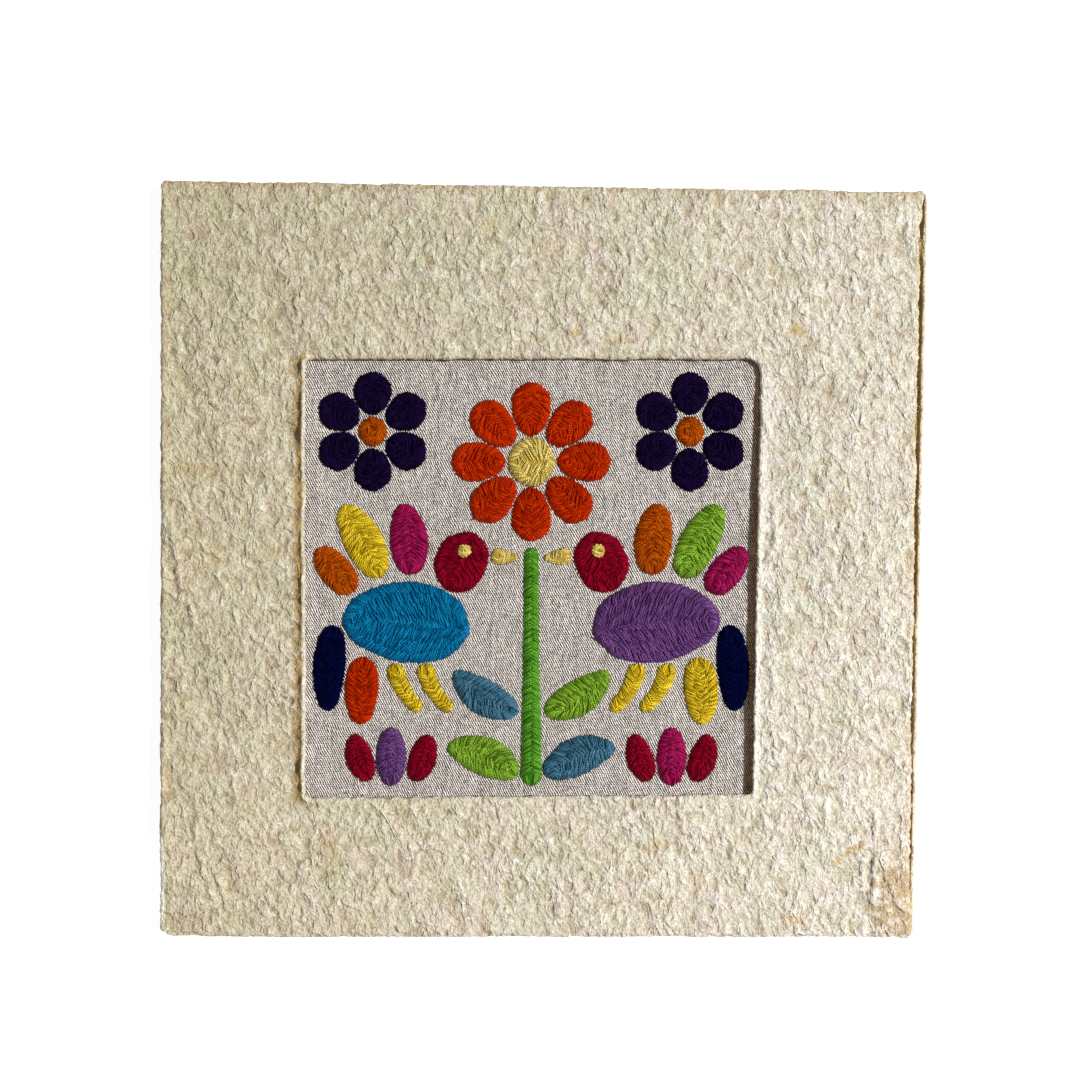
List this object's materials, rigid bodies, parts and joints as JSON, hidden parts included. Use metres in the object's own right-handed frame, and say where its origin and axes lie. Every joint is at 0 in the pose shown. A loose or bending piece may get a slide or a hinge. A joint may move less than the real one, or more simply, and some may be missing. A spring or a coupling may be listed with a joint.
{
  "type": "embroidered cloth in a bark paper window mount",
  "caption": "Plain muslin with padded folk embroidery of two birds at a flowering plant, shown in the window of a thick torn-edged bark paper mount with a back sheet.",
  "frame": {"origin": "centre of the bounding box on the underside of the back sheet, z = 0 where the mount lies on a surface", "axes": "+Z out of the picture, the way the embroidery faces; +Y towards the picture's top; +X towards the picture's right"},
  "size_m": [0.2534, 0.2497, 0.0066],
  "materials": {
    "bark_paper": "matte, fibrous and wrinkled",
    "bark_paper_back": "matte, fibrous",
    "muslin": "plain weave, matte",
    "crimson_thread": "two-ply cotton thread, soft sheen",
    "gold_thread": "two-ply cotton thread, soft sheen",
    "green_thread": "two-ply cotton thread, soft sheen",
    "indigo_thread": "two-ply cotton thread, soft sheen",
    "lime_thread": "two-ply cotton thread, soft sheen",
    "magenta_thread": "two-ply cotton thread, soft sheen",
    "navy_thread": "two-ply cotton thread, soft sheen",
    "orange_thread": "two-ply cotton thread, soft sheen",
    "purple_thread": "two-ply cotton thread, soft sheen",
    "red_orange_thread": "two-ply cotton thread, soft sheen",
    "slate_thread": "two-ply cotton thread, soft sheen",
    "turquoise_thread": "two-ply cotton thread, soft sheen",
    "yellow_thread": "two-ply cotton thread, soft sheen"
  },
  "bodies": {
    "root": {"back_sheet": "bark_paper_back", "beak_left": "gold_thread", "beak_right": "gold_thread", "bloom_1": "red_orange_thread", "bloom_2": "red_orange_thread", "bloom_3": "red_orange_thread", "bloom_4": "red_orange_thread", "bloom_5": "red_orange_thread", "bloom_6": "red_orange_thread", "bloom_7": "red_orange_thread", "bloom_8": "red_orange_thread", "bloom_heart": "gold_thread", "body_left": "turquoise_thread", "body_right": "purple_thread", "bud_in_left": "crimson_thread", "bud_in_right": "crimson_thread", "bud_left": "purple_thread", "bud_out_left": "crimson_thread", "bud_out_right": "crimson_thread", "bud_right": "magenta_thread", "daisy_left_1": "indigo_thread", "daisy_left_2": "indigo_thread", "daisy_left_3": "indigo_thread", "daisy_left_4": "indigo_thread", "daisy_left_5": "indigo_thread", "daisy_left_6": "indigo_thread", "daisy_left_heart": "orange_thread", "daisy_right_1": "indigo_thread", "daisy_right_2": "indigo_thread", "daisy_right_3": "indigo_thread", "daisy_right_4": "indigo_thread", "daisy_right_5": "indigo_thread", "daisy_right_6": "indigo_thread", "daisy_right_heart": "orange_thread", "eye_left": "gold_thread", "eye_right": "gold_thread", "ground_cloth": "muslin", "head_left": "crimson_thread", "head_right": "crimson_thread", "leg_1_left": "yellow_thread", "leg_1_right": "yellow_thread", "leg_2_left": "yellow_thread", "leg_2_right": "yellow_thread", "low_leaf_left": "lime_thread", "low_leaf_right": "slate_thread", "mid_leaf_left": "slate_thread", "mid_leaf_right": "lime_thread", "paper_mat": "bark_paper", "stem": "green_thread", "tail_1_left": "navy_thread", "tail_1_right": "navy_thread", "tail_2_left": "red_orange_thread", "tail_2_right": "yellow_thread", "wing_1_left": "magenta_thread", "wing_1_right": "orange_thread", "wing_2_left": "yellow_thread", "wing_2_right": "lime_thread", "wing_3_left": "orange_thread", "wing_3_right": "magenta_thread"}
  },
  "joints": []
}
